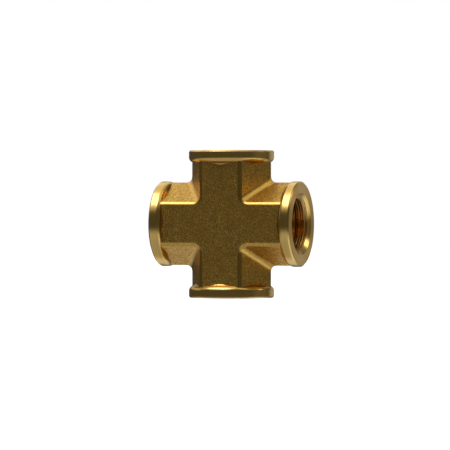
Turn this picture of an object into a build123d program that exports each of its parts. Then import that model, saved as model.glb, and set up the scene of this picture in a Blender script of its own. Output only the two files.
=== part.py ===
from build123d import *
from build123d.topology import SkipClean
import math
import os

# Equal cross fitting with four female ports, hot forged in brass and then machined.
# The port axes meet at the origin. Two ports lie along X and two along Z. The forging's
# parting plane is the XZ plane, so its two flats face -Y and +Y. All sizes are in millimetres.

# Driving dimensions of the forging
across_flats = 27.0  # spanner size of the hexagonal arms
end_to_end = 54.6  # from one port's end face to the opposite one
valley_radius = 2.9  # fillet in the corner between two arms
flat_edge_radius = 2.4  # rounding around the outline of each flat
parting_edge_radius = 1.2  # rounding along the parting line

# Driving dimensions of the turned collars
collar_diameter = 31.6
collar_band = 3.8  # length of the outer band, with its rim chamfer and its half of the rounding
collar_rim_chamfer = 0.5
collar_back_angle = 65.0  # slope of the collar's back, from the port's axis
collar_back_rounding = 1.9  # where the band turns into the back
collar_root_rounding = 1.3  # where the back runs out into the flats

# Driving dimensions of the bores
mouth_diameter = 23.2
countersink_angle = 105.0
tapping_drill_diameter = 19.0
drill_depth = 16.0  # of the full diameter, from the end face
drill_point_angle = 118.0
passage_diameter = 14.0  # the cross drilling that joins the four ports

# Thread G 1/2 (ISO 228): parallel, right-handed, Whitworth form
threads_per_inch = 14
thread_major_diameter = 20.955
thread_angle = 55.0
thread_height_ratio = 0.640327  # height of the full form over its pitch
thread_root_ratio = 0.137329  # radius of the root over the pitch
thread_depth = 15.0  # from the end face to the middle of the deepest groove
lead_turns = 2  # turns over which the cone of the tap lets the groove fade out

# Worked out from the driving dimensions
half_flats = across_flats / 2
half_corners = half_flats / math.cos(math.radians(30))
half_flat_width = half_flats * math.tan(math.radians(30))
end_plane = end_to_end / 2
arm_reach = end_plane - collar_band / 2  # the arms stop inside their collars
collar_radius = collar_diameter / 2
collar_foot_radius = half_flats - 0.08  # the collar's root ends just under the flats
collar_back_length = (collar_radius - collar_foot_radius) / math.tan(math.radians(collar_back_angle))
collar_root = end_plane - collar_band - collar_back_length
mouth_radius = mouth_diameter / 2
drill_radius = tapping_drill_diameter / 2
passage_radius = passage_diameter / 2
countersink_depth = (mouth_radius - drill_radius) / math.tan(math.radians(countersink_angle / 2))
drill_bottom = end_plane - drill_depth
drill_point = (drill_radius - passage_radius) / math.tan(math.radians(drill_point_angle / 2))
pitch = 25.4 / threads_per_inch
major_radius = thread_major_diameter / 2
pitch_radius = major_radius - thread_height_ratio * pitch / 2
root_radius = thread_root_ratio * pitch
half_angle = math.radians(thread_angle / 2)
cutter_inner_radius = drill_radius - 0.2  # the thread cutter starts inside the drilled hole
groove_half_width = pitch / 4 + (pitch_radius - cutter_inner_radius) * math.tan(half_angle)
groove_turns = math.ceil((thread_depth + groove_half_width) / pitch)
deepest_groove = end_plane - thread_depth
margin = 1.5  # how far a cutter goes past the metal that it cuts
small = 0.001

# One plane for each port: its Y axis runs out along the port, and its X axis lies across it
port_planes = [Plane.XZ.rotated((0, turn, 0)) for turn in (0, 90, 180, 270)]


def is_valley(edge):
    """Is the edge a corner between two arms?"""
    middle = edge.center()
    return abs(abs(middle.X) - abs(middle.Z)) < small < abs(middle.X)


def is_level(edge):
    """Does the edge keep one height above the parting plane, clear of the arms' ends?"""
    middle = edge.center()
    inside_arms = max(abs(middle.X), abs(middle.Z)) < arm_reach - small
    return inside_arms and edge.bounding_box().size.Y < small


def is_flat_edge(edge):
    """Is the edge on the outline of a flat?"""
    return is_level(edge) and abs(edge.center().Y) > small


def is_parting_edge(edge):
    """Is the edge on the parting line?"""
    return is_level(edge) and abs(edge.center().Y) < small


def is_root(corner):
    """Is the corner of the collar's profile the one between its back and its foot?"""
    return abs(corner.X - collar_foot_radius) < small and corner.Y > collar_root - small


# Thread cutter: one turn of the groove around the Z axis, climbing from z = 0 by one pitch
with BuildPart() as groove_turn:
    with BuildLine():
        groove_path = Helix(pitch=pitch, height=pitch, radius=pitch_radius)
    with BuildSketch(Plane(groove_path @ 0, x_dir=(1, 0, 0), z_dir=groove_path % 0)):
        inner = cutter_inner_radius - pitch_radius
        root = major_radius - pitch_radius
        root_start = root - root_radius * (1 - math.sin(half_angle))
        root_half_width = root_radius * math.cos(half_angle)
        with BuildLine():
            Polyline(
                (root_start, root_half_width),
                (inner, groove_half_width),
                (inner, -groove_half_width),
                (root_start, -root_half_width),
            )
            ThreePointArc((root_start, -root_half_width), (root, 0), (root_start, root_half_width))
        make_face()
    sweep(path=groove_path, is_frenet=True)

# The deepest turns of the groove, cut shallower and shallower by the cone at the tip of the tap
with BuildPart() as groove_lead:
    for turn in range(lead_turns):
        with Locations((0, 0, turn * pitch)):
            add(groove_turn.part)
    with BuildSketch(Plane.XZ):
        cone_length = lead_turns * pitch - 2 * groove_half_width
        cone_slope = cone_length / (major_radius - cutter_inner_radius)
        beyond = major_radius + margin
        with BuildLine():
            Polyline(
                (0, groove_half_width),
                (cutter_inner_radius, groove_half_width),
                (beyond, groove_half_width + cone_slope * (beyond - cutter_inner_radius)),
                (beyond, -pitch),
                (0, -pitch),
                close=True,
            )
        make_face()
    revolve(axis=Axis.Z, mode=Mode.SUBTRACT)

with BuildPart() as cross_body:
    # The half of the forging behind the parting plane: two crossed arms, each half a hexagon in section
    for turn in (0, 90):
        with BuildSketch(Plane.XY.rotated((0, turn, 0))):
            with BuildLine():
                Polyline(
                    (-half_corners, 0),
                    (-half_flat_width, half_flats),
                    (half_flat_width, half_flats),
                    (half_corners, 0),
                    close=True,
                )
            make_face()
        extrude(amount=arm_reach, both=True)
    fillet(cross_body.edges().filter_by(is_valley), valley_radius)

    # The other half, and the forging's rounded edges
    mirror(about=Plane.XZ)
    fillet(cross_body.edges().filter_by(is_flat_edge), flat_edge_radius)
    fillet(cross_body.edges().filter_by(is_parting_edge), parting_edge_radius)

    # A collar around each port. The root of its back leaves a crescent on each flat of the arm.
    for port in port_planes:
        with BuildSketch(port) as collar_profile:
            with BuildLine():
                Polyline(
                    (0, end_plane),
                    (collar_radius - collar_rim_chamfer, end_plane),
                    (collar_radius, end_plane - collar_rim_chamfer),
                    (collar_radius, end_plane - collar_band),
                    (collar_foot_radius, collar_root),
                    (collar_foot_radius, collar_root - margin),
                    (0, collar_root - margin),
                    close=True,
                )
            make_face()
            band_corners = collar_profile.vertices().group_by(Axis.X)[-1]
            fillet(band_corners.sort_by(Axis.Y)[0], collar_back_rounding)
            fillet(collar_profile.vertices().filter_by(is_root), collar_root_rounding)
        revolve(axis=Axis(port.origin, port.y_dir))

    # The cross drilling
    for port in port_planes[:2]:
        with BuildSketch(Plane(port.origin, z_dir=port.y_dir)):
            Circle(passage_radius)
        extrude(amount=end_plane - small, both=True, mode=Mode.SUBTRACT)

    # Faces aren't merged from here on, so that a crest of the thread is a face of half a turn at most
    with SkipClean():
        # Tapping drill and countersink, one half turn at a time
        for port in port_planes:
            for side in (1, -1):
                with BuildSketch(port):
                    with BuildLine():
                        Polyline(
                            (0, 0),
                            (side * passage_radius, 0),
                            (side * passage_radius, drill_bottom - drill_point),
                            (side * drill_radius, drill_bottom),
                            (side * drill_radius, end_plane - countersink_depth),
                            (side * mouth_radius, end_plane),
                            (side * mouth_radius, end_plane + margin),
                            (0, end_plane + margin),
                            close=True,
                        )
                    make_face()
                revolve(axis=Axis(port.origin, port.y_dir), revolution_arc=180, mode=Mode.SUBTRACT)

        # The threads, from the faded turns out to past the end face
        for port in port_planes:
            grooves = [(groove_lead.part, deepest_groove)]
            for turn in range(lead_turns, groove_turns):
                grooves.append((groove_turn.part, deepest_groove + turn * pitch))
            for groove, height in grooves:
                with Locations(Plane(port.y_dir * height, x_dir=port.z_dir, z_dir=port.y_dir)):
                    add(groove, mode=Mode.SUBTRACT)

cross_body.part.label = "cross_body"

os.makedirs("parts", exist_ok=True)
export_step(cross_body.part, "parts/cross_body.step")
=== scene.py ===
import math

import bpy
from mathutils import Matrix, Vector


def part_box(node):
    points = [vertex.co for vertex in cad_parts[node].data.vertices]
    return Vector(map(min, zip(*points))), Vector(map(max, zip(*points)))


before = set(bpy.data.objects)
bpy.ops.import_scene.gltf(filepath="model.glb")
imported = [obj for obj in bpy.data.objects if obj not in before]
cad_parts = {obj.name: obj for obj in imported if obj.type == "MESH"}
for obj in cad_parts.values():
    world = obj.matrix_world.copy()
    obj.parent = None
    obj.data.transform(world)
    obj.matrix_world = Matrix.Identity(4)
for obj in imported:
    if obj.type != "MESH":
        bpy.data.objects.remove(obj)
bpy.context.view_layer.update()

# ----------------------------------------------------------------------------------------------------
# Sizes read from the frame, in metres
# ----------------------------------------------------------------------------------------------------
low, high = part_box("cross_body")
centre = (low + high) / 2
end_plane = high.z - centre.z  # from the centre to an end face
collar_radius = high.y - centre.y
unit = end_plane / 17.2  # small sizes are in this unit, so that they follow the size of the fitting
lamp_distance = 20.35 * end_plane

# Zones of the turned metal, as they lie in the CAD part
mouth_radius = 7.3 * unit
bore_zone = mouth_radius + 0.1 * unit  # nothing outside the bores is as near a port's axis as this
collar_band = 2.4 * unit
collar_back_slope = math.tan(math.radians(65))
collar_length = 3.6 * unit

# Relief that is shaded, and not modelled
edge_softening = 0.09 * unit
grain_depth = 0.022 * unit
ring_depth = 0.004 * unit

# ----------------------------------------------------------------------------------------------------
# Small helpers for building node trees
# ----------------------------------------------------------------------------------------------------


class Nodes:
    """Adds nodes to one tree and wires them up from left to right."""

    def __init__(self, tree):
        self.tree = tree
        tree.nodes.clear()

    def add(self, kind, inputs=None, **settings):
        """A node with its settings and inputs set. An input may be a value or another node's socket."""
        node = self.tree.nodes.new(kind)
        for name, value in settings.items():
            setattr(node, name, value)
        for name, value in (inputs or {}).items():
            self.feed(node.inputs[name], value)
        return node

    def feed(self, socket, value):
        """Links a socket to another, or gives it a plain value."""
        if isinstance(value, bpy.types.NodeSocket):
            self.tree.links.new(value, socket)
        else:
            socket.default_value = value

    def math(self, operation, *values, clamp=False):
        """The result of one arithmetic operation."""
        node = self.add("ShaderNodeMath", operation=operation, use_clamp=clamp)
        for socket, value in zip(node.inputs, values):
            self.feed(socket, value)
        return node.outputs[0]

    def vector(self, operation, *values):
        """The vector result of one vector operation."""
        node = self.add("ShaderNodeVectorMath", operation=operation)
        for socket, value in zip(node.inputs, values):
            self.feed(socket, value)
        return node.outputs["Value"] if operation in ("LENGTH", "DOT_PRODUCT") else node.outputs["Vector"]

    def ramp(self, value, start, end, low_value=0.0, high_value=1.0):
        """A smooth step from low_value at start to high_value at end."""
        node = self.add(
            "ShaderNodeMapRange",
            {"Value": value, "From Min": start, "From Max": end, "To Min": low_value, "To Max": high_value},
            interpolation_type="SMOOTHSTEP",
        )
        return node.outputs["Result"]

    def noise(self, vector, scale, detail=2.0, roughness=0.5, distortion=0.0):
        """Noise of this scale, between 0 and 1."""
        settings = {"Scale": scale, "Detail": detail, "Roughness": roughness, "Distortion": distortion}
        return self.add("ShaderNodeTexNoise", {"Vector": vector, **settings}).outputs["Fac"]

    def mix(self, factor, first, second):
        """A colour between two colours."""
        node = self.add("ShaderNodeMix", data_type="RGBA")
        self.feed(node.inputs["Factor"], factor)
        self.feed(node.inputs[6], first)
        self.feed(node.inputs[7], second)
        return node.outputs[2]

    def blend(self, factor, first, second):
        """A number between two numbers."""
        node = self.add("ShaderNodeMix", data_type="FLOAT")
        self.feed(node.inputs["Factor"], factor)
        self.feed(node.inputs[2], first)
        self.feed(node.inputs[3], second)
        return node.outputs[0]

    def combine(self, x, y, z):
        """A vector from three numbers."""
        return self.add("ShaderNodeCombineXYZ", {"X": x, "Y": y, "Z": z}).outputs[0]


def rgb(red, green, blue):
    """An opaque colour."""
    return (red, green, blue, 1.0)


# ----------------------------------------------------------------------------------------------------
# Brass: forged skin on the body, turned metal on the collars, end faces and threads
# ----------------------------------------------------------------------------------------------------


def port_coordinates(n, position):
    """The distance out along the nearest port's axis, the distance from it, and the direction round it."""
    parts = n.add("ShaderNodeSeparateXYZ", {"Vector": position}).outputs
    size_x = n.math("ABSOLUTE", parts["X"])
    size_z = n.math("ABSOLUTE", parts["Z"])
    along = n.math("MAXIMUM", size_x, size_z)
    across = n.math("MINIMUM", size_x, size_z)
    across_squared = n.math("MULTIPLY", across, across)
    depth_squared = n.math("POWER", parts["Y"], 2.0)
    radius = n.math("SQRT", n.math("ADD", across_squared, depth_squared))
    is_side = n.math("GREATER_THAN", size_x, size_z)
    axis = n.combine(is_side, 0.0, n.math("SUBTRACT", 1.0, is_side))
    around = n.vector("NORMALIZE", n.vector("CROSS_PRODUCT", axis, position))
    return along, radius, around


def brass_material():
    """All the surfaces of the fitting in one procedural material."""
    material = bpy.data.materials.new("brass")
    material.use_nodes = True
    n = Nodes(material.node_tree)
    coordinates = n.add("ShaderNodeTexCoord").outputs
    position = coordinates["Object"]
    along, radius, around = port_coordinates(n, position)
    normal_parts = n.add("ShaderNodeSeparateXYZ", {"Vector": coordinates["Normal"]}).outputs
    facing = n.math("ABSOLUTE", normal_parts["Y"])

    # Zones: 1 inside each zone, 0 outside
    sharp = 0.03 * unit
    in_bore = n.ramp(radius, bore_zone, bore_zone - sharp)
    on_end = n.ramp(along, end_plane - 2 * sharp, end_plane - sharp)
    behind_band = n.math("SUBTRACT", end_plane - collar_band, along)
    back_depth = n.math("MAXIMUM", behind_band, 0.0)
    back_radius = n.math("SUBTRACT", collar_radius, n.math("MULTIPLY", back_depth, collar_back_slope))
    off_back = n.math("SUBTRACT", radius, back_radius)
    on_collar = n.math(
        "MULTIPLY",
        n.ramp(off_back, 0.20 * unit, 0.14 * unit),
        n.ramp(along, end_plane - collar_length, end_plane - collar_length + sharp),
    )
    turned = n.math("MAXIMUM", n.math("MAXIMUM", in_bore, on_end), on_collar)
    on_flat_edge = n.math("MULTIPLY", n.ramp(facing, 0.50, 0.64), n.ramp(facing, 1.0, 0.96))

    # Turning marks: rings that are fine grooves along the band and spirals on the end faces
    ring_place = n.blend(on_end, along, radius)
    ring_vector = n.combine(ring_place, 0.0, 0.0)
    fine_rings = n.noise(ring_vector, 9.0 / unit, detail=3.0, roughness=0.7)
    broad_rings = n.noise(ring_vector, 1.6 / unit, detail=1.0)
    rings = n.math("ADD", n.math("MULTIPLY", fine_rings, 0.6), n.math("MULTIPLY", broad_rings, 0.8))

    # Forged skin: blasted grain, small pits and a slow waviness
    grain = n.noise(position, 6.5 / unit, detail=2.0, roughness=0.6)
    coarse_grain = n.noise(position, 3.3 / unit, detail=2.0, roughness=0.5)
    waves = n.noise(position, 0.16 / unit, detail=2.0)
    pits = n.add("ShaderNodeTexVoronoi", {"Vector": position, "Scale": 3.6 / unit}, feature="SMOOTH_F1")
    skin = n.math("ADD", n.math("MULTIPLY", grain, 0.55), n.math("MULTIPLY", coarse_grain, 0.45))
    skin = n.math("ADD", skin, n.math("MULTIPLY", pits.outputs["Distance"], 0.35))
    skin_height = n.math("ADD", skin, n.math("MULTIPLY", waves, 0.8))

    # Shading normal: rounded edges, then the surface's own relief
    rounded = n.add("ShaderNodeBevel", {"Radius": edge_softening}, samples=6).outputs["Normal"]
    skin_bump = n.add(
        "ShaderNodeBump",
        {
            "Height": skin_height,
            "Normal": rounded,
            "Strength": n.blend(on_flat_edge, 1.0, 0.12),
            "Distance": grain_depth,
        },
    ).outputs["Normal"]
    ring_bump = n.add(
        "ShaderNodeBump",
        {"Height": rings, "Normal": rounded, "Strength": 1.0, "Distance": ring_depth},
    ).outputs["Normal"]
    normal = n.add("ShaderNodeMix", data_type="VECTOR")
    n.feed(normal.inputs["Factor"], turned)
    n.feed(normal.inputs[4], skin_bump)
    n.feed(normal.inputs[5], ring_bump)

    # Colour: olive in the skin's hollows, yellower on its high spots, and clean yellow on turned metal,
    # with painted shade on the backs of the collars
    spots = n.ramp(skin, 0.54, 0.76)
    clouds = n.ramp(waves, 0.35, 0.65)
    mottle = n.ramp(n.noise(position, 1.0 / unit, detail=3.0, roughness=0.6), 0.40, 0.62)
    skin_colour = n.mix(spots, rgb(0.43, 0.23, 0.03), rgb(1.0, 0.645, 0.14))
    skin_colour = n.mix(n.math("MULTIPLY", clouds, 0.30), skin_colour, rgb(0.55, 0.30, 0.045))
    skin_colour = n.mix(n.math("MULTIPLY", mottle, 0.35), skin_colour, rgb(0.42, 0.21, 0.03))
    skin_colour = n.mix(n.math("MULTIPLY", on_flat_edge, 0.5), skin_colour, rgb(0.86, 0.51, 0.11))
    turned_colour = n.mix(n.ramp(broad_rings, 0.3, 0.7), rgb(0.84, 0.53, 0.13), rgb(0.93, 0.62, 0.18))
    # Painted shade: the turned back of each collar, behind its band, is darkened towards the body
    collar_back_painted_shade = n.math("MULTIPLY", on_collar, n.ramp(behind_band, 0.1 * unit, 0.5 * unit))
    turned_colour = n.mix(n.math("MULTIPLY", collar_back_painted_shade, 0.7), turned_colour, rgb(0.38, 0.19, 0.035))
    colour = n.mix(turned, skin_colour, turned_colour)

    skin_roughness = n.ramp(grain, 0.3, 0.7, 0.48, 0.38)
    skin_roughness = n.blend(on_flat_edge, skin_roughness, 0.21)
    turned_roughness = n.ramp(fine_rings, 0.3, 0.7, 0.17, 0.25)
    turned_roughness = n.math("ADD", turned_roughness, n.math("MULTIPLY", on_end, 0.15))
    roughness = n.blend(turned, skin_roughness, turned_roughness)
    streaked = n.blend(turned, 0.0, n.blend(on_end, 0.3, 0.85))

    surface = n.add(
        "ShaderNodeBsdfPrincipled",
        {
            "Base Color": colour,
            "Metallic": 1.0,
            "Roughness": roughness,
            "Normal": normal.outputs[1],
            "Anisotropic": streaked,
            "Anisotropic Rotation": 0.25,
            "Tangent": around,
        },
    )
    n.add("ShaderNodeOutputMaterial", {"Surface": surface.outputs[0]})
    return material


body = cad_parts["cross_body"]
for material_slot in body.material_slots:
    material_slot.material = brass_material()

# ----------------------------------------------------------------------------------------------------
# Floor, light and camera
# ----------------------------------------------------------------------------------------------------


def pale_floor():
    """A large plain floor under the bottom port."""
    reach = 40 * end_plane
    corners = [(-reach, -reach, 0), (reach, -reach, 0), (reach, reach, 0), (-reach, reach, 0)]
    mesh = bpy.data.meshes.new("floor")
    mesh.from_pydata(corners, [], [(0, 1, 2, 3)])
    floor = bpy.data.objects.new("floor", mesh)
    floor.location = (centre.x, centre.y, low.z)
    bpy.context.scene.collection.objects.link(floor)
    material = bpy.data.materials.new("pale_floor")
    material.use_nodes = True
    n = Nodes(material.node_tree)
    lit = n.add("ShaderNodeBsdfDiffuse", {"Color": rgb(0.8, 0.8, 0.8)})
    glow = n.add("ShaderNodeEmission", {"Color": rgb(1.0, 1.0, 1.0), "Strength": 0.78})
    surface = n.add("ShaderNodeAddShader")
    n.feed(surface.inputs[0], lit.outputs[0])
    n.feed(surface.inputs[1], glow.outputs[0])
    n.add("ShaderNodeOutputMaterial", {"Surface": surface.outputs[0]})
    mesh.materials.append(material)
    floor.visible_glossy = False


def studio_world():
    """White to the camera. To the metal, a room with a pale ceiling and table, dark at eye level."""
    world = bpy.data.worlds.new("studio")
    world.use_nodes = True
    n = Nodes(world.node_tree)
    direction = n.add("ShaderNodeTexCoord").outputs["Generated"]
    height = n.add("ShaderNodeSeparateXYZ", {"Vector": direction}).outputs["Z"]
    to_left = n.vector("DOT_PRODUCT", direction, (-1.0, 0.0, 0.0))
    lit_side = n.ramp(to_left, -0.34, -0.06, 0.25, 1.0)
    to_front = n.math("MAXIMUM", n.vector("DOT_PRODUCT", direction, (0.0, -1.0, 0.0)), 0.0)
    ceiling_height = n.math("SUBTRACT", height, n.math("MULTIPLY", to_front, 0.42))
    ceiling = n.math("MULTIPLY", n.ramp(ceiling_height, 0.26, 0.76, 0.0, 0.72), lit_side)
    to_window = n.vector("DOT_PRODUCT", direction, (-0.70, 0.72, 0.0))
    window = n.math("MULTIPLY", n.ramp(height, 0.08, 0.34, 0.0, 0.40), n.ramp(to_window, 0.35, 0.75))
    window = n.math("MULTIPLY", window, n.ramp(height, 0.80, 0.55))
    behind = n.math("MAXIMUM", n.vector("DOT_PRODUCT", direction, (0.0, 1.0, 0.0)), 0.0)
    table_height = n.math("ADD", height, n.math("MULTIPLY", behind, 0.22))
    to_right = n.math("MAXIMUM", n.vector("DOT_PRODUCT", direction, (0.95, 0.31, 0.0)), 0.0)
    table = n.ramp(table_height, -0.14, -0.46, 0.0, 0.36)
    table = n.math("MULTIPLY", table, n.ramp(to_right, 0.3, 0.95, 1.0, 2.3))
    near_table = n.ramp(height, -0.50, -0.80)
    near_table = n.math("MULTIPLY", near_table, n.ramp(behind, 0.10, 0.45, -0.05, 0.26))
    right_wall = n.math("MULTIPLY", n.ramp(to_right, 0.85, 0.97), 0.05)
    to_back = n.vector("DOT_PRODUCT", direction, (0.26, 0.965, 0.0))
    back_wall = n.math("MULTIPLY", n.ramp(to_back, 0.88, 1.0), n.ramp(height, 0.36, 0.12, 0.0, 0.30))
    to_key = n.vector("DOT_PRODUCT", direction, (-0.29, -0.37, 0.88))
    glow = n.ramp(to_key, 0.80, 1.0, 0.0, 0.55)
    level = n.math("ADD", n.math("ADD", ceiling, window), n.math("ADD", table, near_table))
    to_right_lamp = n.vector("DOT_PRODUCT", direction, (0.56, -0.03, 0.83))
    right_glow = n.ramp(to_right_lamp, 0.88, 1.0, 0.0, 0.50)
    level = n.math("ADD", level, n.math("ADD", glow, right_glow))
    level = n.math("ADD", level, n.math("ADD", right_wall, n.math("ADD", back_wall, 0.066)))
    tint = n.mix(n.ramp(height, -0.1, -0.4), rgb(1.0, 0.98, 0.95), rgb(0.96, 1.0, 1.2))
    lighting = n.add("ShaderNodeBackground", {"Color": tint, "Strength": level})
    backdrop = n.add("ShaderNodeBackground", {"Color": rgb(1.0, 1.0, 1.0), "Strength": 1.0})
    to_camera = n.add("ShaderNodeLightPath").outputs["Is Camera Ray"]
    shown = n.add("ShaderNodeMixShader", {"Fac": to_camera})
    n.feed(shown.inputs[1], lighting.outputs[0])
    n.feed(shown.inputs[2], backdrop.outputs[0])
    n.add("ShaderNodeOutputWorld", {"Surface": shown.outputs[0]})
    bpy.context.scene.world = world


def softbox(name, azimuth, elevation, size, power, colour):
    """A rectangular light that looks at the object's centre. Azimuth 0 is in front, positive to the right.
    Its size is in end planes, and its power grows with the fitting, so that the light stays the same."""
    turn, rise = math.radians(azimuth), math.radians(elevation)
    way = Vector((math.sin(turn) * math.cos(rise), -math.cos(turn) * math.cos(rise), math.sin(rise)))
    light = bpy.data.lights.new(name, "AREA")
    light.shape = "RECTANGLE"
    light.size, light.size_y = size[0] * end_plane, size[1] * end_plane
    light.energy = power * end_plane**2
    light.color = colour
    lamp = bpy.data.objects.new(name, light)
    lamp.location = centre + way * lamp_distance
    lamp.rotation_euler = (-way).to_track_quat("-Z", "Y").to_euler()
    lamp.visible_camera = False
    bpy.context.scene.collection.objects.link(lamp)


camera_azimuth = math.radians(19.0)
camera_elevation = math.radians(0.57)
camera_distance = 50.6 * end_plane
frame_width = 3.0613 * 2 * end_plane
aim_left = 0.01447 * frame_width
aim_down = 0.00233 * frame_width


def camera():
    """A long lens, a little to the right of the front and almost level with the fitting."""
    level = math.cos(camera_elevation)
    back = Vector(
        (
            math.sin(camera_azimuth) * level,
            -math.cos(camera_azimuth) * level,
            math.sin(camera_elevation),
        )
    )
    right = Vector((math.cos(camera_azimuth), math.sin(camera_azimuth), 0))
    data = bpy.data.cameras.new("camera")
    data.sensor_width = 36
    data.lens = data.sensor_width * camera_distance / frame_width
    data.clip_start = camera_distance / 100
    data.clip_end = camera_distance * 10
    view = bpy.data.objects.new("camera", data)
    aim = centre - right * aim_left - Vector((0, 0, aim_down))
    view.location = aim + back * camera_distance
    view.rotation_euler = (-back).to_track_quat("-Z", "Y").to_euler()
    bpy.context.scene.collection.objects.link(view)
    bpy.context.scene.camera = view


pale_floor()
studio_world()
softbox("key", -38, 62, (16.3, 9.9), 777.0, (0.92, 0.97, 1.5))
softbox("fill", 113, 32, (5.8, 5.8), 237.0, (1.0, 1.0, 1.1))
camera()
bpy.context.scene.view_settings.view_transform = "Standard"
